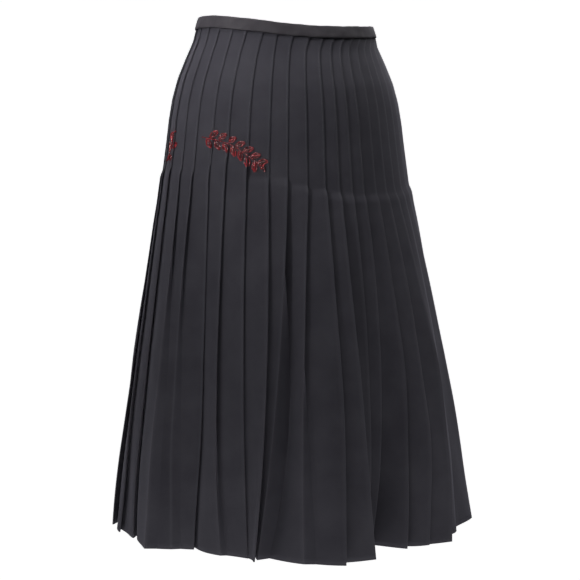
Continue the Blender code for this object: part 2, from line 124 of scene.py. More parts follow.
def fold_table():
    """Each column as an array over the folds.  A free fold's value is linear between
    the listed ones plus a slow swing sin(2.4 n) or sway sin(1.7 n + 0.8)."""
    rows = np.array(FOLDS, float)
    number = np.arange(PLEATS)
    table = {name: np.interp(number, rows[:, 0], rows[:, column])
             for column, name in enumerate(COLUMNS)}
    free = ~np.isin(number, rows[:, 0])
    swing = np.sin(2.4 * number) * free
    sway = np.sin(1.7 * number + 0.8) * free
    table["release_z"] += 5.0 * swing
    table["mid_crest"] += 0.6 * sway
    table["mid_rise"] += 2.0 * swing
    table["mid_open"] += 2.0 * free + 2.0 * sway
    table["hem_crest"] += 1.2 * sway
    table["hem_rise"] += 6.0 * swing
    table["hem_lap"] += 2.0 * swing
    table["hem_open"] += 3.0 * free + 4.0 * sway
    return table


TABLE = fold_table()


def oval(z):
    """Half width and half depth at heights z, linear between the rows of OVAL."""
    return np.interp(-z, -OVAL[:, 0], OVAL[:, 1]), np.interp(-z, -OVAL[:, 0], OVAL[:, 2])


def place(turn, rise, z):
    """Point (r + rise)(cos a, sin a), with a = turn + 180 degrees and r the oval's radius
    1 / hypot(cos a / width, sin a / depth) at height z."""
    width, depth = oval(z)
    angle = np.radians(turn + 180.0)
    radius = rise + 1.0 / np.hypot(np.cos(angle) / width, np.sin(angle) / depth)
    return np.stack([radius * np.cos(angle), radius * np.sin(angle)], -1)


def through(share, top, middle, bottom):
    """Parabola through top at 0, middle at m and bottom at 1:
    top (s-m)(s-1)/m + middle s(s-1)/(m(m-1)) + bottom s(s-m)/(1-m)."""
    m = (RELEASE_Z - MIDDLE_Z) / (RELEASE_Z - HEM_Z)
    return (top * (share - m) * (share - 1.0) / m
            + middle * share * (share - 1.0) / (m * (m - 1.0))
            + bottom * share * (share - m) / (1.0 - m))


def hung(level, z, share):
    """Turn and rise of the crests, tucks and leg middles at one height.  With the line
    through the crests, a layer's pitch and lean = layer LEAN_LAYERS lap / spacing, a
    closed pleat's tuck lies at line - layer TUCK_LAYERS - lean - opening and its leg's
    middle at line + layer LEG_LAYERS - lean; where the lap is below 0 the leg is straight."""
    crest, rise, lap, opening, bulge = (
        TABLE[level + "_" + name] * size for name, size in
        (("crest", 1.0), ("rise", MM), ("lap", MM), ("open", MM), ("bulge", MM)))
    width, depth = oval(z)
    angle = np.radians(crest + 180.0)
    a_metre = np.degrees(np.hypot(np.cos(angle) / width, np.sin(angle) / depth))
    tuck = crest - lap * a_metre
    line_turn = np.concatenate([crest[-1:] - 360.0, crest, crest[:1] + 360.0])
    line_rise = np.interp(tuck, line_turn, np.concatenate([rise[-1:], rise, rise[:1]]))
    spacing = np.diff(np.append(crest, crest[0] + 360.0)) / a_metre
    layer = FLAT_LAYER + (HEM_LAYER - FLAT_LAYER) * share
    lean = layer * LEAN_LAYERS * np.minimum(lap / spacing, 1.0)
    closed = lap > 0.0
    tuck_rise = line_rise - np.where(closed, TUCK_LAYERS * layer + lean, 0.0) - opening
    last_tuck = np.roll(tuck, 1) - 360.0 * (np.arange(PLEATS) == 0)
    middle = np.where(closed, tuck, (last_tuck + crest) / 2.0)
    straight = (np.roll(tuck_rise, 1) + rise) / 2.0
    middle_rise = np.where(closed, line_rise + LEG_LAYERS * layer - lean, straight) + bulge
    return crest, rise, tuck, tuck_rise, middle, middle_rise


def folds_at(z):
    """Crest, tuck and leg middle (turn, rise) and the fold width, for a column of
    heights z against all folds.  Above the release the layers lean like tiles:
    tuck rise = crest rise - layer (TUCK_LAYERS + LEAN_LAYERS overlap / spacing)."""
    release = TABLE["release"]
    near_waist = (TAPER_SHARE * np.exp((z - CLOTH_TOP) / TAPER_LENGTH)
                  + (1.0 - TAPER_SHARE) * (1.0 - z / RELEASE_Z))
    crest = release + (TABLE["waist"] - release) * np.maximum(near_waist, 0.0)
    spacing = np.roll(crest, -1, axis=1) - crest
    spacing[:, -1] += 360.0
    overlap = FLAT_OVERLAP * np.minimum(spacing, np.roll(spacing, 1, axis=1))
    tuck = crest - overlap
    crest_rise = np.full_like(crest, -0.5 * (FLAT_LAYER + CAD_WALL))
    tuck_rise = crest_rise - FLAT_LAYER * (TUCK_LAYERS + LEAN_LAYERS * overlap / spacing)
    leg_rise = tuck_rise + (TUCK_LAYERS + LEG_LAYERS) * FLAT_LAYER
    flat = crest, crest_rise, tuck, tuck_rise, tuck, leg_rise
    share = np.maximum((RELEASE_Z - z) / (RELEASE_Z - HEM_Z), 0.0)
    mid = hung("mid", MIDDLE_Z, (RELEASE_Z - MIDDLE_Z) / (RELEASE_Z - HEM_Z))
    hem = hung("hem", HEM_Z, 1.0)
    crest, crest_rise, tuck, tuck_rise, middle, middle_rise = (
        through(share, *values) for values in zip(flat, mid, hem))
    under = (TABLE["release_z"] * MM - z) / PUFF_LENGTH
    from_fullest = (TABLE["fold"] - FRONT_PUFF_FOLD) / FRONT_PUFF_SPREAD
    fuller = 1.0 + FRONT_PUFF * np.exp(-from_fullest ** 2)
    swell = PUFF * fuller * np.sin(0.5 * np.pi * np.clip(under, 0.0, 1.0))
    middle_rise = middle_rise + LEG_SWELL * np.minimum(swell, np.roll(swell, 1, axis=1))
    width = FLAT_LAYER + (HEM_FOLD_WIDTH - FLAT_LAYER) * share
    return (crest, crest_rise + swell), (tuck, tuck_rise), (middle, middle_rise), width


def unit(vector):
    return vector / np.linalg.norm(vector, axis=-1, keepdims=True)


def fold_sides(fold, before, after, width):
    """A fold's side where the cloth arrives and its side where it leaves, half its
    breadth each way along the mean of the two ways the cloth runs;
    breadth = min(width, FOLD_LEAST + FOLD_SLOPE x the fold's distance from the chord)."""
    chord = after - before
    along = np.sum((fold - before) * chord, -1) / np.sum(chord * chord, -1)
    foot = before + chord * np.clip(along, 0.0, 1.0)[..., None]
    off_chord = np.linalg.norm(fold - foot, axis=-1)
    breadth = np.minimum(width, FOLD_LEAST + FOLD_SLOPE * off_chord)[..., None]
    across = unit(unit(fold - before) + unit(after - fold)) * breadth / 2.0
    return fold - across, fold + across


def leg_line(start, middle, end, count):
    """Points at t = 0..1 from start to end, whose slope turns round the middle from
    u = (middle - start) / t1 to v = (end - middle) / (1 - t1) over t1 - h to t1 + h:
    start + u t - (u - v) ramp, with ramp = 0, then (t - t1 + h)^2 / 4h, then t - t1."""
    first = np.linalg.norm(middle - start, axis=-1)
    second = np.linalg.norm(end - middle, axis=-1)
    t1 = np.clip(first / (first + second), 0.1, 0.9)[..., None, None]
    half = LEG_ROUND * np.minimum(t1, 1.0 - t1)
    t = np.linspace(0.0, 1.0, count)[:, None]
    start, middle, end = (point[..., None, :] for point in (start, middle, end))
    slope, last_slope = (middle - start) / t1, (end - middle) / (1.0 - t1)
    ramp = (np.clip(t - t1 + half, 0.0, 2.0 * half) ** 2 / (4.0 * half)
            + np.maximum(t - t1 - half, 0.0))
    return start + slope * t - (slope - last_slope) * ramp


def bend(start, leave, end, arrive, count):
    """Inner points of the cubic from start to end whose handles are HANDLE_SHARE of
    their distance long, along the directions in which the cloth leaves and arrives."""
    reach = HANDLE_SHARE * np.linalg.norm(end - start, axis=-1, keepdims=True)
    t = np.linspace(0.0, 1.0, count + 2)[1:-1, None]
    corners = start, start + leave * reach, end - arrive * reach, end
    points = [point[..., None, :] for point in corners]
    weights = ((1 - t) ** 3, 3 * t * (1 - t) ** 2, 3 * t * t * (1 - t), t ** 3)
    return sum(weight * point for weight, point in zip(weights, points))


LEG_POINTS = 9
RETURN_POINTS = 5
BEND_POINTS = 3


def strip(z):
    """The cloth's middle line at each height: rows x pleats x points x 2.  A pleat is
    its leg, the bend at its crest, its return and the bend at its tuck."""
    z = z[:, None]
    crest, tuck, middle, width = folds_at(z)
    crest_point, tuck_point, middle_point = (place(*fold, z) for fold in (crest, tuck, middle))
    leg_end, return_start = fold_sides(crest_point, middle_point, tuck_point, width)
    next_middle = np.roll(middle_point, -1, axis=1)
    return_end, next_leg_start = fold_sides(tuck_point, crest_point, next_middle, width)
    leg_start = np.roll(next_leg_start, 1, axis=1)
    leg = leg_line(leg_start, middle_point, leg_end, LEG_POINTS)
    run = np.linspace(0.0, 1.0, RETURN_POINTS)[:, None]
    back = return_start[..., None, :] + (return_end - return_start)[..., None, :] * run
    back_way = unit(return_end - return_start)
    leg_out = unit(leg[..., -1, :] - leg[..., -2, :])
    leg_in = np.roll(unit(leg[..., 1, :] - leg[..., 0, :]), -1, axis=1)
    crest_bend = bend(leg_end, leg_out, return_start, back_way, BEND_POINTS)
    tuck_bend = bend(return_end, back_way, next_leg_start, leg_in, BEND_POINTS)
    return np.concatenate([leg, crest_bend, back, tuck_bend], axis=2)


# Soft folds pressed and worn into the cloth by hand: turn and height of the middle,
# half breadth in degrees, half length in mm, lift in mm and degrees of lean per 100 mm.
CREASES = np.array([
    # turn, z, half_breadth, half_length, lift, lean
    (62.0, -505, 9.0, 95, 5.0, 2.0),
    (74.0, -560, 4.0, 80, -3.0, -1.5),
    (57.0, -400, 4.0, 70, 2.6, -2.0),
    (66.0, -330, 5.0, 60, -2.0, 1.0),
    (28.0, -520, 5.0, 90, 3.2, 1.5),
    (14.0, -470, 5.0, 110, -3.4, 1.0),
    (4.0, -560, 3.0, 70, 2.4, 0.0),
    (108.0, -500, 6.0, 100, 3.4, -2.5),
    (98.0, -380, 4.0, 80, -2.4, 1.5),
    (124.0, -450, 5.0, 90, 2.6, 0.5),
    (150.0, -520, 7.0, 100, 4.0, 1.0),
    (176.0, -430, 6.0, 90, -3.2, -1.0),
    (205.0, -500, 8.0, 110, 4.4, 1.5),
    (232.0, -400, 5.0, 80, -2.8, -1.0),
    (255.0, -540, 8.0, 90, 4.6, 2.0),
    (281.0, -460, 6.0, 100, -3.0, 1.0),
    (304.0, -520, 7.0, 95, 3.8, -1.5),
    (333.0, -430, 5.0, 85, -2.4, 0.5),
    (350.0, -540, 5.0, 90, 3.0, 1.0),
    (96.0, -70, 10.0, 26, -0.9, 6.0),
    (70.0, -110, 8.0, 30, 0.8, -4.0),
])


def creased(turn, z):
    """Outward lift: the sum of lift x exp(-(across^2 + up^2)) over the creases, and
    slow ripples that grow from nothing at the release to the hem."""
    lift = np.zeros(np.broadcast(turn, z).shape)
    for middle, height, breadth, length, amount, lean in CREASES:
        up = (z / MM - height) / length
        across = (turn - middle - lean * (z / MM - height) / 100.0 + 180.0) % 360.0 - 180.0
        lift += amount * MM * np.exp(-(across / breadth) ** 2 - up ** 2)
    fall = np.clip((RELEASE_Z - z) / (RELEASE_Z - HEM_Z), 0.0, 1.0)
    angle = np.radians(turn)
    ripple = (np.sin(11.0 * angle + 9.0 * z + 0.7) * np.sin(13.0 * z + 2.0 * np.sin(3.0 * angle))
              + 0.7 * np.sin(17.0 * angle - 14.0 * z) * np.sin(21.0 * z + 4.0 * angle))
    return lift + RIPPLE * fall * ripple


def lift_at(x, y, z):
    """The waist line's lift, HIP_LIFT exp(-(angle from the right hip / HIP_SPREAD)^2)
    - WAIST_DROP, by less and less to the hem."""
    from_hip = np.degrees(np.arctan2(-y, -x))
    lift = HIP_LIFT * np.exp(-(from_hip / HIP_SPREAD) ** 2) - WAIST_DROP
    return lift * (z - HEM_Z) / -HEM_Z


def place_lifted(turn, rise, z):
    """The point of place() and its height, moved by the waist line's lift."""
    flat = place(turn, rise, z)
    return np.concatenate([flat, (z + lift_at(flat[..., 0], flat[..., 1], z))[..., None]], -1)


def settled(points, z):
    """The strip's points with their creases and their height."""
    angle = np.arctan2(points[..., 1], points[..., 0])
    turn = np.degrees(angle) + 180.0
    radius = np.linalg.norm(points, axis=-1) + creased(turn, z)
    x, y = radius * np.cos(angle), radius * np.sin(angle)
    return np.stack([x, y, z + lift_at(x, y, z)], -1)


def add_grid(name, points, uv, attributes=(), cyclic=False):
    """A mesh of the grid points[row, column]; uv in metres, attributes by name.  Faces
    point the way of (down a row) x (on a column)."""
    rows, columns = points.shape[:2]
    number = np.arange(rows * columns).reshape(rows, columns)
    right = np.roll(number, -1, axis=1) if cyclic else number[:, 1:]
    left = number if cyclic else number[:, :-1]
    corners = np.stack([left[:-1], left[1:], right[1:], right[:-1]], -1).reshape(-1, 4)
    mesh = bpy.data.meshes.new(name)
    mesh.from_pydata(points.reshape(-1, 3), [], corners)
    mesh.polygons.foreach_set("use_smooth", np.ones(len(corners), bool))
    mesh.uv_layers.new(name="cloth").data.foreach_set(
        "uv", uv.reshape(-1, 2)[corners.ravel()].astype(np.float32).ravel())
    for key, values in dict(attributes).items():
        layer = mesh.attributes.new(key, "FLOAT", "POINT")
        layer.data.foreach_set("value", values.astype(np.float32).ravel())
    made = bpy.data.objects.new(name, mesh)
    bpy.context.scene.collection.objects.link(made)
    return made


def new_finish(name, **sockets):
    """A Principled material; the sockets are named with _ for each space."""
    made = bpy.data.materials.new(name)
    made.use_nodes = True
    shader = made.node_tree.nodes["Principled BSDF"]
    for key, value in sockets.items():
        shader.inputs[key.replace("_", " ")].default_value = value
    return made, made.node_tree, shader


def add_node(tree, kind, inputs=(), **settings):
    """A node with its settings, and its inputs set to a value or joined to a socket."""
    made = tree.nodes.new(kind)
    for key, value in settings.items():
        setattr(made, key, value)
    for key, value in dict(inputs).items():
        if isinstance(value, bpy.types.NodeSocket):
            tree.links.new(value, made.inputs[key])
        else:
            made.inputs[key].default_value = value
    return made


def blended(tree, share, first, second, kind="MIX"):
    """The colour socket of first mixed with second by share."""
    mix = add_node(tree, "ShaderNodeMix", {0: share}, data_type="RGBA", blend_type=kind)
    for socket, colour in ((mix.inputs[6], first), (mix.inputs[7], second)):
        if isinstance(colour, bpy.types.NodeSocket):
            tree.links.new(colour, socket)
        else:
            socket.default_value = (*colour, 1.0)
    return mix.outputs[2]


def ranged(tree, value, low, high, out_low=0.0, out_high=1.0):
    """value, as it goes from low to high, spread over out_low to out_high and held there."""
    node = add_node(tree, "ShaderNodeMapRange", {"Value": value, "From Min": low, "From Max": high,
                                                 "To Min": out_low, "To Max": out_high})
    return node.outputs["Result"]


def cloth_place(tree):
    return add_node(tree, "ShaderNodeUVMap", uv_map="cloth").outputs["UV"]


def noise(tree, scale, detail, roughness=0.5, place_at=None):
    """The share of a noise texture's clouds, in the object's own place by default."""
    if place_at is None:
        place_at = add_node(tree, "ShaderNodeTexCoord").outputs["Object"]
    return add_node(tree, "ShaderNodeTexNoise", {
        "Vector": place_at, "Scale": scale, "Detail": detail,
        "Roughness": roughness}).outputs["Fac"]


def ribs(tree, pitch, direction, distortion, detail, detail_scale=1.0):
    """The share of a wave texture's bands, whose pitch is 2 pi / (20 scale)."""
    return add_node(tree, "ShaderNodeTexWave", {
        "Vector": cloth_place(tree), "Scale": 2.0 * math.pi / (20.0 * pitch),
        "Distortion": distortion, "Detail": detail, "Detail Scale": detail_scale},
        wave_type="BANDS", bands_direction=direction).outputs["Fac"]


def tint(tree, shader, share, first, second):
    """Colours the shader with first mixed with second by share."""
    tree.links.new(blended(tree, share, first, second), shader.inputs["Base Color"])


def roughen(tree, shader, height, strength, distance):
    """Bumps the shader's surface by height."""
    bump = add_node(tree, "ShaderNodeBump", {
        "Height": height, "Strength": strength, "Distance": distance})
    tree.links.new(bump.outputs["Normal"], shader.inputs["Normal"])


def give_wall(sheet, thickness):
    """Makes the sheet a wall, half of it to each side."""
    wall = sheet.modifiers.new("wall", "SOLIDIFY")
    wall.thickness = thickness
    wall.offset = 0.0


WOOL_DEEP = (0.0300, 0.0285, 0.0370)
WOOL_PALE = (0.0420, 0.0400, 0.0500)
# Paler colour at the pressed edges: partly the glaze of pressing, partly painted light that lifts
# the shade along the fold lines.
WOOL_EDGE_GLAZE_AND_PAINTED_LIGHT = (0.0700, 0.0670, 0.0800)
TWILL_PITCH = 1.1 * MM
YARN_SIZE = 1.4 * MM
MOTTLE_SIZE = 45.0 * MM


def wool():
    """Dark navy worsted wool: a fine twill with uneven yarns, softly mottled, with a soft bloom of
    fibre. It is paler along the pressed edges, partly from the glaze of pressing and partly as
    painted light that lifts the shade in the fold lines."""
    made, tree, shader = new_finish(
        "wool_cloth", Roughness=0.86, Sheen_Weight=0.20, Sheen_Roughness=0.45,
        Sheen_Tint=(0.62, 0.60, 0.72, 1.0), Specular_IOR_Level=0.28)
    twill = ribs(tree, TWILL_PITCH, "DIAGONAL", 0.6, 1.0, 1.5)
    yarn = noise(tree, 1.0 / YARN_SIZE, 3.0, 0.6, cloth_place(tree))
    mottle = noise(tree, 1.0 / MOTTLE_SIZE, 4.0, 0.55)
    edge_glaze_and_painted_light = add_node(tree, "ShaderNodeAttribute", attribute_name="edge_glaze_and_painted_light").outputs["Fac"]
    cloth = blended(tree, ranged(tree, mottle, 0.30, 0.70), WOOL_DEEP, WOOL_PALE)
    cloth = blended(tree, ranged(tree, yarn, 0.35, 0.75, 0.0, 0.35), cloth, WOOL_PALE)
    # Painted light: each fold's pressed edge is paled, partly as the glaze of pressing and partly
    # to lift the shade of the fold line.
    tint(tree, shader, ranged(tree, edge_glaze_and_painted_light, 0.0, 1.0, 0.0, 0.55), cloth, WOOL_EDGE_GLAZE_AND_PAINTED_LIGHT)
    tree.links.new(ranged(tree, mottle, 0.3, 0.7, 0.90, 0.80), shader.inputs["Roughness"])
    height = add_node(tree, "ShaderNodeMath", {0: twill, 1: yarn}, operation="ADD").outputs[0]
    roughen(tree, shader, height, 0.5, 0.10 * MM)
    return made


ROW_STEPS = 100
ROW_CROWDING = 1.8              # how much closer the rows stand near the release,
CROWD_BELOW = 0.012             # how far below it they are closest,
CROWD_SPREAD = 0.030            # and how far that reaches


def row_heights():
    """Heights from top to hem, closer together round the release line: the inverse of
    the running total of 1 + crowding x a bell at the release."""
    fine = np.linspace(CLOTH_TOP, HEM_Z, 2000)
    density = 1.0 + ROW_CROWDING * np.exp(-((fine - RELEASE_Z + CROWD_BELOW) / CROWD_SPREAD) ** 2)
    total = np.concatenate([[0.0], np.cumsum(0.5 * (density[1:] + density[:-1]))])
    return np.interp(np.linspace(0.0, total[-1], ROW_STEPS), total, fine)


HEIGHTS = row_heights()
STRIP = strip(HEIGHTS)
EDGE_GLAZE_AND_LIGHT_WIDTH = 1.0 * MM          # how far the pressed edge's glaze and painted light reach from its fold
POINTS_A_PLEAT = LEG_POINTS + 2 * BEND_POINTS + RETURN_POINTS


def seam_point(number, side):
    """The cut edge, SEAM_SHARE along a leg and half the seam gap to its side."""
    start = STRIP[:, number, 0]
    middle = STRIP[:, number, LEG_POINTS // 2]
    return start + (middle - start) * SEAM_SHARE + unit(middle - start) * side * SEAM_GAP / 2.0


def make_panel(name, node, first, count):
    """A panel of count pleats from its first: the strip between its two seams.  Its uv
    counts each pleat from its own crest line, so that the weave runs with the pleats."""
    order = (first + np.arange(count)) % PLEATS
    after = (first + count) % PLEATS
    inner = STRIP[:, order].reshape(len(HEIGHTS), -1, 2)[:, 1:]
    line = np.concatenate([seam_point(first, 1.0)[:, None], inner, STRIP[:, after, :1],
                           seam_point(after, -1.0)[:, None]], axis=1)
    step = np.linalg.norm(np.diff(line, axis=1), axis=-1)
    run = np.concatenate([np.zeros((len(HEIGHTS), 1)), np.cumsum(step, axis=1)], axis=1)
    crest_column = LEG_POINTS + BEND_POINTS // 2 + POINTS_A_PLEAT * np.arange(count)
    nearest = np.argmin(np.abs(np.arange(line.shape[1])[:, None] - crest_column), axis=1)
    from_crest = run - run[:, crest_column[nearest]]
    uv = np.stack([from_crest + nearest * CLOTH_PER_PLEAT,
                   np.broadcast_to(HEIGHTS[:, None], run.shape)], -1)
    # Mask for the pressed edges (glaze and painted light), fading with the distance from each
    # crest.
    panel = add_grid(name, settled(line, HEIGHTS[:, None]), uv,
                     {"edge_glaze_and_painted_light": np.exp(-np.abs(from_crest) / EDGE_GLAZE_AND_LIGHT_WIDTH)})
    give_wall(panel, WOOL_THICK)
    panel.data.materials.append(wool())
    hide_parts(node)
    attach(panel, "skirt")


make_panel("front_pleats", "front_panel", 0, FRONT_PLEATS)
make_panel("back_pleats", "back_panel", FRONT_PLEATS, PLEATS - FRONT_PLEATS)

# ------------------------------------------------------------------ edge stitching
# Each pleat is held down to the hip by a line of navy machine stitches just back from
# its pressed edge.  They are evenly spaced and end where the pleat is let go.

STITCH_LENGTH = 2.3 * MM
STITCH_PITCH = 2.9 * MM
THREAD_RADIUS = 0.20 * MM
STITCH_BACK = 1.5 * MM          # from the fold
STITCH_SIDES = 5
STITCH_TOP = CLOTH_TOP - 2.0 * MM
CLOTH_SLOPE = 0.12              # how far the cloth runs outwards for each step down


def leg_frame(legs, number, step, share):
    """Points and outward normals on chosen legs: between leg points step-1 and step."""
    rows = np.arange(len(number))
    low, high = legs[rows, number, step - 1], legs[rows, number, step]
    along = unit(high - low)
    down = np.array([0.0, 0.0, -1.0]) + CLOTH_SLOPE * unit(high * np.array([1.0, 1.0, 0.0]))
    out = unit(np.cross(down, along))
    return low + (high - low) * share[:, None], along, out


def back_from_crest(number, z, distance):
    """Points on the outer face of the legs, so far back from their crests."""
    legs = settled(strip(z)[:, :, :LEG_POINTS], z[:, None, None])
    rows = np.arange(len(z))
    last = np.linalg.norm(legs[rows, number, -1] - legs[rows, number, -2], axis=-1)
    step = np.full(len(z), LEG_POINTS - 1)
    return leg_frame(legs, number, step, 1.0 - distance / last)


def add_rods(name, middles, radii, across, up, sides, tones):
    """Short closed rods: rings of radius radii[k] round the points middles[n, k], each
    ring point at middle + radius (across cos a + up sin a), with a flat cap at each end."""
    count, rings = middles.shape[:2]
    turn = np.linspace(0.0, 2.0 * np.pi, sides, endpoint=False)
    circle = (across[:, None, None] * np.cos(turn)[:, None]
              + up[:, None, None] * np.sin(turn)[:, None])
    points = middles[:, :, None] + radii[..., None, None] * circle
    number = np.arange(count * rings * sides).reshape(count, rings, sides)
    after = np.roll(number, -1, axis=2)
    quads = np.stack([number[:, :-1], after[:, :-1], after[:, 1:], number[:, 1:]], -1)
    quads = quads.reshape(-1, 4)
    faces = quads.tolist() + number[:, 0, ::-1].tolist() + number[:, -1].tolist()
    mesh = bpy.data.meshes.new(name)
    mesh.from_pydata(points.reshape(-1, 3), [], faces)
    mesh.polygons.foreach_set("use_smooth", np.arange(len(faces)) < len(quads))
    layer = mesh.attributes.new("tone", "FLOAT", "POINT")
    layer.data.foreach_set("value", np.repeat(tones, rings * sides).astype(np.float32))
    made = bpy.data.objects.new(name, mesh)
    bpy.context.scene.collection.objects.link(made)
    return made


def thread():
    """Navy sewing thread, a shade smoother and cooler than the cloth."""
    made, tree, shader = new_finish("sewing_thread", Roughness=0.55, Sheen_Weight=0.2)
    tone = add_node(tree, "ShaderNodeAttribute", attribute_name="tone").outputs["Fac"]
    tint(tree, shader, tone, (0.026, 0.026, 0.036), (0.046, 0.045, 0.058))
    return made


def make_edge_stitches():
    """One stitch every STITCH_PITCH down each pleat: its two ends dip into the cloth and
    its middle stands just proud."""
    bottom = TABLE["release_z"] * MM - 1.0 * MM
    runs = [np.arange(STITCH_TOP, end, -STITCH_PITCH) for end in bottom]
    number = np.repeat(np.arange(PLEATS), [len(run) for run in runs])
    top = np.concatenate(runs)
    share = np.array([0.0, 0.3, 0.7, 1.0])
    proud = WOOL_THICK / 2.0 + THREAD_RADIUS * np.array([-0.8, 0.5, 0.5, -0.8])
    ends = [back_from_crest(number, top - STITCH_LENGTH * part, STITCH_BACK) for part in (0.0, 1.0)]
    (start, along, out), (end, _, _) = ends
    middles = (start[:, None] + (end - start)[:, None] * share[:, None]
               + out[:, None] * proud[:, None])
    radii = np.broadcast_to(THREAD_RADIUS * np.array([0.6, 1.0, 1.0, 0.6]), middles.shape[:2])
    tones = 0.5 + 0.5 * np.sin(7.0 * number + 900.0 * top)
    stitches = add_rods("edge_stitches", middles, radii, along, out, STITCH_SIDES, tones)
    stitches.data.materials.append(thread())
    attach(stitches, "skirt")


make_edge_stitches()

# ------------------------------------------------------------------ concealed zip
# A closed coil zip behind the left side seam: two woven tapes hang inside the pleats
# from the waistband, with a nylon coil along each inner edge and a metal stop below.

ZIP_SLIT = 2.4 * MM
ZIP_TURN = 180.0
TAPE_WIDTH = 11.0 * MM
TAPE_THICK = 0.55 * MM
TAPE_LENGTH = 0.190             # depth of its lower end below the origin
TAPE_WAVE = 0.25 * MM
TAPE_TOP = -1.0 * MM
TAPE_UNDER_BAND = -3.4 * MM     # rise where the tapes pass the waistband
TAPE_UNDER_PLEATS = -7.85 * MM
TAPE_SETTLED = -13.6 * MM       # height by which the tapes have reached the pleats
COIL_PITCH = 1.3 * MM
COIL_HALF_WIDTH = 1.05 * MM
COIL_HALF_DEPTH = 0.75 * MM
COIL_WIRE = 0.28 * MM
COIL_OFFSET = 0.60 * MM         # each coil's middle from the middle of the zip
COIL_SIDES = 5
COIL_STEPS = 9                  # a turn
COIL_START = 3.0 * MM           # below the tapes' top
COIL_LEFT_OUT = 8.0 * MM        # of the tape's length, at both ends together
COIL_TAPER = 0.1                # turns over which the wire runs out at each end
STOP_HALF = (2.3 * MM, 1.3 * MM, 1.6 * MM)      # width, depth and height
STOP_ABOVE_END = 4.0 * MM


def smoothstep(value, low, high):
    """3 t^2 - 2 t^3 with t = (value - low) / (high - low), held from 0 to 1."""
    t = np.clip((value - low) / (high - low), 0.0, 1.0)
    return t * t * (3.0 - 2.0 * t)


def on_zip(across, rise, z):
    """Points so far across the zip, outside its tapes' middle line and at height z.  The
    tapes' rise goes from under the band to under the pleats, which lean with the oval."""
    under_pleats = smoothstep(-z, -TAPE_TOP, -TAPE_SETTLED)
    base = TAPE_UNDER_BAND + (TAPE_UNDER_PLEATS - TAPE_UNDER_BAND) * under_pleats
    return place_lifted(ZIP_TURN + np.degrees(across / oval(z)[0]), base + rise, z)


def tape_weave():
    """Navy polyester tape with the fine slanting ribs of its weave."""
    made, tree, shader = new_finish("zip_tape_weave", Roughness=0.7, Sheen_Weight=0.15)
    rib = ribs(tree, 0.9 * MM, "DIAGONAL", 1.2, 2.0)
    tint(tree, shader, rib, (0.020, 0.020, 0.030), (0.036, 0.036, 0.050))
    roughen(tree, shader, rib, 0.5, 0.08 * MM)
    return made


def make_tape(name, node, side, finish):
    """A strip TAPE_WIDTH wide beside the slit, waved a little across and along."""
    z = np.linspace(TAPE_TOP, -TAPE_LENGTH, 90)[:, None]
    across = np.linspace(0.0, TAPE_WIDTH, 8)[None, :]
    rise = TAPE_WAVE * np.sin(55.0 * z + 2.0 * side) * (across / TAPE_WIDTH)
    points = on_zip(side * (ZIP_SLIT / 2.0 + across[:, ::side]), rise[:, ::side], z)
    uv = np.stack(np.broadcast_arrays(across, z), -1)
    tape = add_grid(name, points, uv)
    give_wall(tape, TAPE_THICK)
    tape.data.materials.append(finish)
    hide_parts(node)
    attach(tape, "skirt")


def coil_nylon():
    """Navy nylon of the coil, smooth and slightly shiny."""
    made, tree, shader = new_finish("coil_nylon", Roughness=0.38, Coat_Weight=0.15)
    cloudy = noise(tree, 300.0, 2.0)
    tint(tree, shader, cloudy, (0.018, 0.018, 0.028), (0.040, 0.040, 0.055))
    return made


def make_coil(name, side, finish):
    """A flattened helix: across = offset + half width cos a, depth = half depth sin a,
    one pitch down a turn; round it a tube of COIL_SIDES sides that ends in points."""
    turns = int((TAPE_LENGTH - COIL_LEFT_OUT) / COIL_PITCH)
    step = np.linspace(0.0, turns, turns * COIL_STEPS + 1)
    angle = 2.0 * np.pi * step + (0.0 if side > 0 else np.pi)
    z = TAPE_TOP - COIL_START - COIL_PITCH * step
    across = side * COIL_OFFSET + COIL_HALF_WIDTH * np.cos(angle)
    path = on_zip(across, COIL_HALF_DEPTH * np.sin(angle), z)
    along = unit(np.gradient(path, axis=0))
    outward = np.array([1.0, 0.0, 0.0])
    beside = unit(np.cross(along, outward))
    up = np.cross(beside, along)
    sides = np.linspace(0.0, 2.0 * np.pi, COIL_SIDES, endpoint=False)[:, None]
    taper = np.minimum(1.0, np.minimum(step, turns - step) / COIL_TAPER)[:, None, None]
    ring = COIL_WIRE * taper * (beside[:, None] * np.cos(sides) + up[:, None] * np.sin(sides))
    points = path[:, None] + ring
    coil = add_grid(name, points, np.zeros((*points.shape[:2], 2)), cyclic=True)
    coil.data.materials.append(finish)
    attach(coil, "skirt")


def make_stop(finish):
    """The bottom stop: a crimped bar across both coils, a cushion-shaped loft whose end
    rings are tiny and open."""
    half_width, half_depth, half_height = STOP_HALF
    z = -TAPE_LENGTH + STOP_ABOVE_END
    around = np.linspace(0.0, 2.0 * np.pi, 24, endpoint=False)[None, :]
    up = np.linspace(-1.0, 1.0, 9)[:, None]
    width = np.sqrt(np.maximum(1.0 - up ** 6, 0.0)) + 0.02
    across = half_width * width * np.sign(np.cos(around)) * np.abs(np.cos(around)) ** 0.5
    depth = half_depth * width * np.sign(np.sin(around)) * np.abs(np.sin(around)) ** 0.5
    points = on_zip(across, depth, z + half_height * up)[::-1]
    stop = add_grid("zip_stop", points, np.zeros((*points.shape[:2], 2)), cyclic=True)
    stop.data.materials.append(finish)
    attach(stop, "skirt")


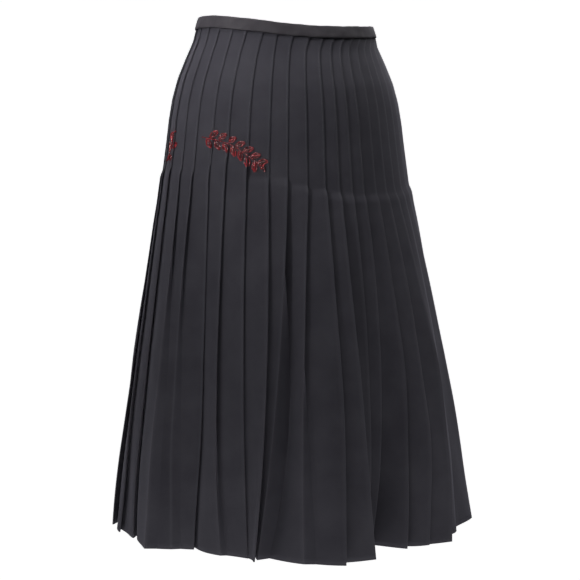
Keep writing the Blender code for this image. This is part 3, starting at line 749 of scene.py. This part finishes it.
def dark_metal():
    """Dark plated zinc, finely mottled, brighter where handling has worn it."""
    made, tree, shader = new_finish("dark_plated_metal", Metallic=1.0, Coat_Weight=0.1)
    wear = noise(tree, 420.0, 4.0, 0.65)
    tint(tree, shader, ranged(tree, wear, 0.45, 0.7), (0.060, 0.060, 0.068), (0.150, 0.148, 0.155))
    tree.links.new(ranged(tree, wear, 0.3, 0.7, 0.24, 0.42), shader.inputs["Roughness"])
    roughen(tree, shader, wear, 0.25, 0.03 * MM)
    return made


tape_finish, coil_finish, metal_finish = tape_weave(), coil_nylon(), dark_metal()
make_tape("zip_tape_front_woven", "zip_tape_front", -1, tape_finish)
make_tape("zip_tape_back_woven", "zip_tape_back", 1, tape_finish)
make_coil("zip_coil_front", -1, coil_finish)
make_coil("zip_coil_back", 1, coil_finish)
make_stop(metal_finish)

# ------------------------------------------------------------------ waistband
# A straight strip of smoother navy cloth, folded in two over the top of the pleats and
# turned under at both lower edges.  It ends on each side of the zip.

BAND_THICK = 0.7 * MM
BAND_TURNS = 300
BAND_PROFILE_POINTS = 54
BAND_MIDDLE = -0.9 * MM         # rise at which its two faces meet beside the slit
BAND_END_ROUND = 1.6 * MM       # length of that rounded end
BAND_PULL = 0.16 * MM           # depth of the small pulls
# The folded strip's section from its inner turned edge over the top to its outer one.
BAND_FOLD = np.array([
    # rise, z in mm
    (-3.3, -14.0), (-4.7, -14.6), (-5.5, -14.0), (-5.2, -12.4), (-3.6, -10.4), (-2.6, -8.0),
    (-2.2, -4.5), (-2.1, -1.5), (-1.6, -0.6), (-0.9, -0.35), (-0.2, -0.6), (0.15, -1.5),
    (0.50, -4.5), (0.80, -8.5), (1.00, -12.0), (0.85, -13.9), (0.25, -14.6), (-0.55, -14.0),
]) * MM


def smooth_line(corners, count):
    """count points on the Catmull-Rom curve through the corners: each span is
    0.5 (2 b + (c-a) t + (2a-5b+4c-d) t^2 + (3b-a-3c+d) t^3)."""
    padded = np.vstack([2 * corners[0] - corners[1], corners, 2 * corners[-1] - corners[-2]])
    run = np.linspace(0.0, len(corners) - 1.0, count)
    span = np.minimum(run.astype(int), len(corners) - 2)
    t = (run - span)[:, None]
    a, b, c, d = (padded[span + k] for k in range(4))
    return 0.5 * (2 * b + (c - a) * t + (2 * a - 5 * b + 4 * c - d) * t ** 2
                  + (3 * b - a - 3 * c + d) * t ** 3)


def band_cloth():
    """Navy satin-backed band cloth: a faint lengthwise rib, slightly paler than the wool
    and a little smoother."""
    made, tree, shader = new_finish(
        "band_cloth", Sheen_Weight=0.12, Sheen_Roughness=0.4, Specular_IOR_Level=0.30,
        Sheen_Tint=(0.70, 0.68, 0.80, 1.0))
    rib = ribs(tree, 0.7 * MM, "Y", 0.8, 2.0)
    cloudy = noise(tree, 60.0, 4.0, 0.6)
    tint(tree, shader, ranged(tree, cloudy, 0.3, 0.7), (0.034, 0.030, 0.036), (0.048, 0.043, 0.050))
    tree.links.new(ranged(tree, cloudy, 0.3, 0.7, 0.80, 0.64), shader.inputs["Roughness"])
    height = add_node(tree, "ShaderNodeMath", {0: rib, 1: cloudy}, operation="ADD").outputs[0]
    roughen(tree, shader, height, 0.35, 0.08 * MM)
    return made


def make_waistband():
    """The folded section carried round the oval; close to the slit its two faces come
    together as a half circle, and small pulls run slantwise across it."""
    half_slit = np.degrees(ZIP_SLIT / 2.0 / oval(0.0)[0])
    turn = np.linspace(ZIP_TURN + half_slit, ZIP_TURN + 360.0 - half_slit, BAND_TURNS)[None, :]
    section = smooth_line(BAND_FOLD, BAND_PROFILE_POINTS)
    rise, z = section[:, :1], section[:, 1:]
    end = np.minimum(turn - turn[0, 0], turn[0, -1] - turn) * np.radians(1.0) * oval(0.0)[0]
    closing = np.sqrt(1.0 - (1.0 - np.clip(end / BAND_END_ROUND, 0.0, 1.0)) ** 2)
    rise = BAND_MIDDLE + (rise - BAND_MIDDLE) * (0.1 + 0.9 * closing)
    angle = np.radians(turn)
    outer = smoothstep(rise, -1.5 * MM, 0.2 * MM)
    pull = (np.sin(9.0 * angle + 260.0 * z) + 0.8 * np.sin(21.0 * angle - 330.0 * z + 1.0)
            + 0.5 * np.sin(47.0 * angle + 150.0 * z + 2.0 * np.sin(5.0 * angle)))
    rise = rise + BAND_PULL * pull * outer
    height = z + 0.15 * MM * np.sin(13.0 * angle + 0.6) + 0.1 * MM * np.sin(31.0 * angle)
    points = place_lifted(turn, rise, height)
    step = np.linalg.norm(np.diff(section, axis=0), axis=1)
    along = np.concatenate([[0.0], np.cumsum(step)])[:, None]
    uv = np.stack(np.broadcast_arrays(angle * oval(0.0)[0], along), -1)
    band = add_grid("waistband_strip", points[::-1], uv[::-1])
    give_wall(band, BAND_THICK)
    band.data.materials.append(band_cloth())
    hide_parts("waistband")
    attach(band, "skirt")


make_waistband()

# ------------------------------------------------------------------ zip slider and pull
# The slider's neck comes through the slit at the top of the band, and its long drop
# pull hangs from a lug outside it.  Both are cast metal with their edges tumbled round.


def make_rounded(name, node, radius, finish, body):
    """The CAD node's own mesh, its loose corners merged and its edges rounded."""
    work = bmesh.new()
    work.from_mesh(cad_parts[node].data)
    bmesh.ops.remove_doubles(work, verts=work.verts[:], dist=0.001 * MM)
    bmesh.ops.dissolve_limit(work, angle_limit=math.radians(2.0),
                             verts=work.verts[:], edges=work.edges[:])
    mesh = bpy.data.meshes.new(name)
    work.to_mesh(mesh)
    work.free()
    made = bpy.data.objects.new(name, mesh)
    bpy.context.scene.collection.objects.link(made)
    rounding = made.modifiers.new("rounding", "BEVEL")
    rounding.width = radius
    rounding.segments = 3
    rounding.limit_method = "ANGLE"
    rounding.angle_limit = math.radians(35.0)
    mesh.polygons.foreach_set("use_smooth", np.ones(len(mesh.polygons), bool))
    mesh.materials.append(finish)
    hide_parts(node)
    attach(made, body)


make_rounded("zip_slider_cast", "zip_slider", 0.25 * MM, metal_finish, "skirt")
make_rounded("zip_pull_cast", "zip_pull", 0.22 * MM, metal_finish, "pull")

# ------------------------------------------------------------------ beaded sprigs
# Two sprigs of dark red glass beads sewn on the stitched pleats of the right hip: a
# curved stem of short rods, leaves of long bugle beads, and round berries at the tip.

# Beads, in mm
STEM_RADIUS = 0.85
BUGLE_RADIUS = 0.85
BERRY_RADIUS = 1.45
BEAD_SIDES = 8
BEAD_SEAT = 0.9                 # height of a bead's middle over the cloth, in radii
STEM_PITCH = 1.9
HIP_HALF_WIDTH = 165.0          # of the oval where the sprigs are sewn
HIP_HALF_DEPTH = 125.0
LEAF_LEAN = 44.0
LEAF_STAND_OFF = 1.7
# Beads of one leaf and of the berry tip, from the base of each, in mm and degrees.
LEAF = np.array([
    # along, aside, heading, half_length
    (4.0, 1.9, 24.0, 3.4),
    (4.0, -1.9, -24.0, 3.4),
    (10.4, 1.9, -24.0, 3.3),
    (10.4, -1.9, 24.0, 3.3),
    (7.2, 0.0, 0.0, 4.6),
])
BERRIES = np.array([(2.6, 0.3), (5.4, 2.0), (5.6, -1.4), (8.4, 0.6), (10.6, -1.6)])
# One row a sprig: turn and height of its foot, its reach across and up and its bow in
# mm, and how many pairs of leaves it has.
SPRIGS = (
    # foot_turn, foot_z, across, up, bow, pairs
    (11.0, -147.0, 74.0, -28.0, 7.0, 7),
    (-14.0, -178.0, 15.0, 26.0, -3.0, 2),
)
RED_DEEP = (0.100, 0.006, 0.010)
RED_BRIGHT = (0.380, 0.026, 0.034)


def turned(points, heading):
    """Points turned by heading degrees in their plane."""
    cos, sin = np.cos(np.radians(heading)), np.sin(np.radians(heading))
    return np.stack([points[..., 0] * cos - points[..., 1] * sin,
                     points[..., 0] * sin + points[..., 1] * cos], -1)


def sprig_beads(across, up, bow, pairs):
    """A sprig laid flat, in mm: rows of x, y, heading, half length and radius.  The stem
    is t (across, up) + bow sin(pi t) square to it, and each leaf leans off its slope."""
    reach = math.hypot(across, up)
    axis = np.degrees(math.atan2(up, across))

    def on_stem(t):
        flat = np.stack([t * reach, bow * np.sin(np.pi * t)], -1)
        lean = np.arctan(np.pi * bow / reach * np.cos(np.pi * t))
        return turned(flat, axis), axis + np.degrees(lean)

    def rows(place_at, heading, half_length, radius):
        return np.column_stack([place_at, *(np.broadcast_to(value, len(place_at))
                                            for value in (heading, half_length, radius))])

    stem, slope = on_stem(np.linspace(0.0, 1.0, int(reach / STEM_PITCH)))
    beads = [rows(stem, slope, STEM_RADIUS, STEM_RADIUS)]
    for side in (-1.0, 1.0):
        foot, slope = on_stem((np.arange(pairs) + 0.55 + 0.2 * side) / (pairs + 0.1))
        for along, aside, heading, half_length in LEAF:
            lean = slope + side * LEAF_LEAN
            middle = foot + turned(np.array([[LEAF_STAND_OFF + along, aside]]), lean)
            beads.append(rows(middle, lean + heading, half_length, BUGLE_RADIUS))
    tip, slope = on_stem(np.array([1.0]))
    beads.append(rows(tip + turned(BERRIES, slope), slope, BERRY_RADIUS, BERRY_RADIUS))
    return np.vstack(beads)


def on_cloth(turn, z):
    """Points on the outermost layer of the stitched pleats, with the directions along
    and out of it: each lies on the leg whose crest is the next one in turn."""
    legs = settled(strip(z)[:, :, :LEG_POINTS], z[:, None, None])
    angle = np.degrees(np.arctan2(legs[..., 1], legs[..., 0])) + 180.0
    angle = np.where(angle > 300.0, angle - 360.0, angle)
    number = np.argmin(np.where(angle[:, :, -1] > turn[:, None], angle[:, :, -1], np.inf), axis=1)
    on_leg = angle[np.arange(len(z)), number]
    step = np.clip(np.sum(on_leg < turn[:, None], axis=1), 1, LEG_POINTS - 1)
    low, high = np.take_along_axis(on_leg, np.stack([step - 1, step], -1), 1).T
    return leg_frame(legs, number, step, (turn - low) / (high - low))


def bead_glass():
    """Dark red glass, opaque here, with a clear hard shine, each bead its own tone."""
    made, tree, shader = new_finish("red_glass_beads", Roughness=0.16, Coat_Weight=0.6,
                                    Coat_Roughness=0.05, Specular_IOR_Level=0.6)
    tone = add_node(tree, "ShaderNodeAttribute", attribute_name="tone").outputs["Fac"]
    tint(tree, shader, tone, RED_DEEP, RED_BRIGHT)
    return made


def make_beads(name, beads, ring_places, ring_radii, finish, draw):
    """Beads as rods along their heading, lying on the cloth: ring k is at half length x
    ring_places[k] with radius x ring_radii[k]."""
    radius_there = 1.0 / np.hypot(np.cos(np.radians(beads[:, 0])) / HIP_HALF_WIDTH,
                                  np.sin(np.radians(beads[:, 0])) / HIP_HALF_DEPTH)
    turn = beads[:, 0] + np.degrees(beads[:, 2] / radius_there)
    point, along, out = on_cloth(turn, (beads[:, 1] + beads[:, 3]) * MM)
    upward = np.cross(out, along)
    heading = np.radians(beads[:, 4:5])
    forward = along * np.cos(heading) + upward * np.sin(heading)
    beside = np.cross(out, forward)
    half_length, radius = beads[:, 5] * MM, beads[:, 6] * MM
    middle = point + out * (WOOL_THICK / 2.0 + BEAD_SEAT * radius)[:, None]
    rings = middle[:, None] + forward[:, None] * (half_length[:, None] * ring_places)[..., None]
    made = add_rods(name, rings, radius[:, None] * ring_radii, beside, out, BEAD_SIDES,
                    draw.random(len(beads)) ** 1.5)
    made.data.materials.append(finish)
    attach(made, "skirt")


def sewn_beads():
    """Rows of foot turn, foot height, x, y, heading, half length and radius."""
    sewn = []
    for foot_turn, foot_z, *shape in SPRIGS:
        laid = sprig_beads(*shape)
        foot = np.broadcast_to([foot_turn, foot_z], (len(laid), 2))
        sewn.append(np.column_stack([foot, laid]))
    return np.vstack(sewn)


sewn = sewn_beads()
is_rod = sewn[:, 6] != BERRY_RADIUS     # the stem's beads are rods too
glass = bead_glass()
tones = np.random.default_rng(7)
slices = np.radians([168.0, 135.0, 108.0, 72.0, 45.0, 12.0])
make_beads("round_beads", sewn[~is_rod], np.cos(slices), np.sin(slices), glass, tones)
make_beads("bugle_beads", sewn[is_rod], np.array([-1.0, -0.94, 0.0, 0.94, 1.0]),
           np.array([0.72, 1.0, 1.0, 1.0, 0.72]), glass, tones)

# ------------------------------------------------------------------ camera, light and room
# A long lens level with the waistband looks slightly down from the wearer's right front.
# The light comes mainly from overhead, the upper left and behind, with low lights at the
# hem and two small ones behind at the right, and the room is plain white.

CAMERA_DISTANCE = 2.92
CAMERA_ASIDE = 4.3 * MM
CAMERA_Z = -0.0187
CAMERA_PITCH = math.radians(6.379)
CAMERA_LENS = 140.6
TO_CAMERA = Vector((-0.6428, -0.7660, 0.0))
TO_RIGHT = Vector((0.7660, -0.6428, 0.0))
UP = Vector((0.0, 0.0, 1.0))
SKIRT_MIDDLE = Vector((0.0, 0.0, -0.32))
WORLD_COLOUR = (0.93, 0.95, 1.0, 1.0)
WORLD_STRENGTH = 0.02


def aimed(thing, place_at, direction):
    """Places a camera or light and turns its -Z to the direction."""
    thing.location = place_at
    thing.rotation_euler = direction.to_track_quat("-Z", "Y").to_euler()
    bpy.context.scene.collection.objects.link(thing)


lens = bpy.data.cameras.new("camera")
lens.lens = CAMERA_LENS
camera = bpy.data.objects.new("camera", lens)
aimed(camera, TO_CAMERA * CAMERA_DISTANCE + TO_RIGHT * CAMERA_ASIDE + UP * CAMERA_Z,
      -TO_CAMERA * math.cos(CAMERA_PITCH) - UP * math.sin(CAMERA_PITCH))
bpy.context.scene.camera = camera

# One row a light: name, power in W, size in m, how far towards the camera, to its right
# and up from the skirt's middle, how far above that middle it aims, and its spread in
# degrees.
LIGHTS = (
    # name, power, size, towards, right, up, aim_up, spread
    ("key_light", 0.95, 0.5, 1.2, -1.2, 1.0, 0.34, 24.0),
    ("over_light", 13.6, 0.8, 0.1, 0.0, 1.6, 0.0, 180.0),
    ("side_light", 1.5, 1.6, 1.4, -1.8, 0.5, 0.0, 180.0),
    ("floor_light", 2.6, 1.2, 1.0, -0.5, -0.95, 0.0, 180.0),
    ("low_front_light", 2.6, 1.0, 0.8, 0.1, -0.62, -0.20, 180.0),
    ("hem_left_light", 1.0, 0.4, 0.30, -0.55, -0.50, -0.33, 180.0),
    ("hem_front_light", 0.3, 0.5, 0.55, 0.0, -0.50, -0.33, 180.0),
    ("hem_right_light", 0.8, 0.4, 0.25, 0.60, -0.50, -0.33, 180.0),
    ("rim_light", 0.4, 1.0, -0.9, 2.0, 0.3, 0.0, 180.0),
    ("back_light", 24.0, 2.0, -2.0, 0.3, 1.5, 0.0, 180.0),
    ("hip_light", 0.8, 0.6, -0.5, 1.1, 1.2, 0.30, 60.0),
)
for name, power, size, towards, right, up, aim_up, spread in LIGHTS:
    lamp = bpy.data.lights.new(name, "AREA")
    lamp.energy = power
    lamp.size = size
    lamp.spread = math.radians(spread)
    offset = TO_CAMERA * towards + TO_RIGHT * right + UP * up
    aimed(bpy.data.objects.new(name, lamp), SKIRT_MIDDLE + offset, UP * aim_up - offset)

world = bpy.data.worlds.new("soft_room_light")
world.use_nodes = True
world.node_tree.nodes["Background"].inputs["Color"].default_value = WORLD_COLOUR
world.node_tree.nodes["Background"].inputs["Strength"].default_value = WORLD_STRENGTH
bpy.context.scene.world = world
bpy.context.scene.view_settings.view_transform = "Standard"

FLOOR_Z = -1.03
ROOM_RADIUS = 9.0


def room_white(name, glow):
    """Matt white that also glows, and is clear from behind each face."""
    made, tree, shader = new_finish(name, Roughness=0.9, Base_Color=(0.9, 0.9, 0.9, 1.0))
    shader.inputs["Emission Color"].default_value = (1.0, 1.0, 1.0, 1.0)
    shader.inputs["Emission Strength"].default_value = glow
    clear = add_node(tree, "ShaderNodeBsdfTransparent")
    behind = add_node(tree, "ShaderNodeNewGeometry").outputs["Backfacing"]
    either = add_node(tree, "ShaderNodeMixShader", {0: behind, 1: shader.outputs["BSDF"],
                                                    2: clear.outputs["BSDF"]})
    tree.links.new(either.outputs["Shader"], tree.nodes["Material Output"].inputs["Surface"])
    return made


def make_room():
    """A wide floor and a sphere of (cos e cos a, cos e sin a, sin e) seen from inside."""
    around = np.linspace(0.0, 2.0 * np.pi, 64, endpoint=False)[None, :]
    out = np.linspace(0.02, 0.97 * ROOM_RADIUS, 6)[:, None]
    disc = np.stack(np.broadcast_arrays(out * np.cos(around), out * np.sin(around), FLOOR_Z), -1)
    rise = np.linspace(-1.56, 1.56, 33)[:, None]
    ball = ROOM_RADIUS * np.stack(np.broadcast_arrays(
        np.cos(rise) * np.cos(around), np.cos(rise) * np.sin(around), np.sin(rise)), -1)
    for name, points, glow in (("floor", disc[::-1], 0.75), ("backdrop", ball, 1.0)):
        shown = add_grid(name, points, np.zeros((*points.shape[:2], 2)), cyclic=True)
        shown.data.materials.append(room_white(name + "_white", glow))
        shown.visible_diffuse = False
        shown.visible_glossy = False
        shown.visible_shadow = False


make_room()
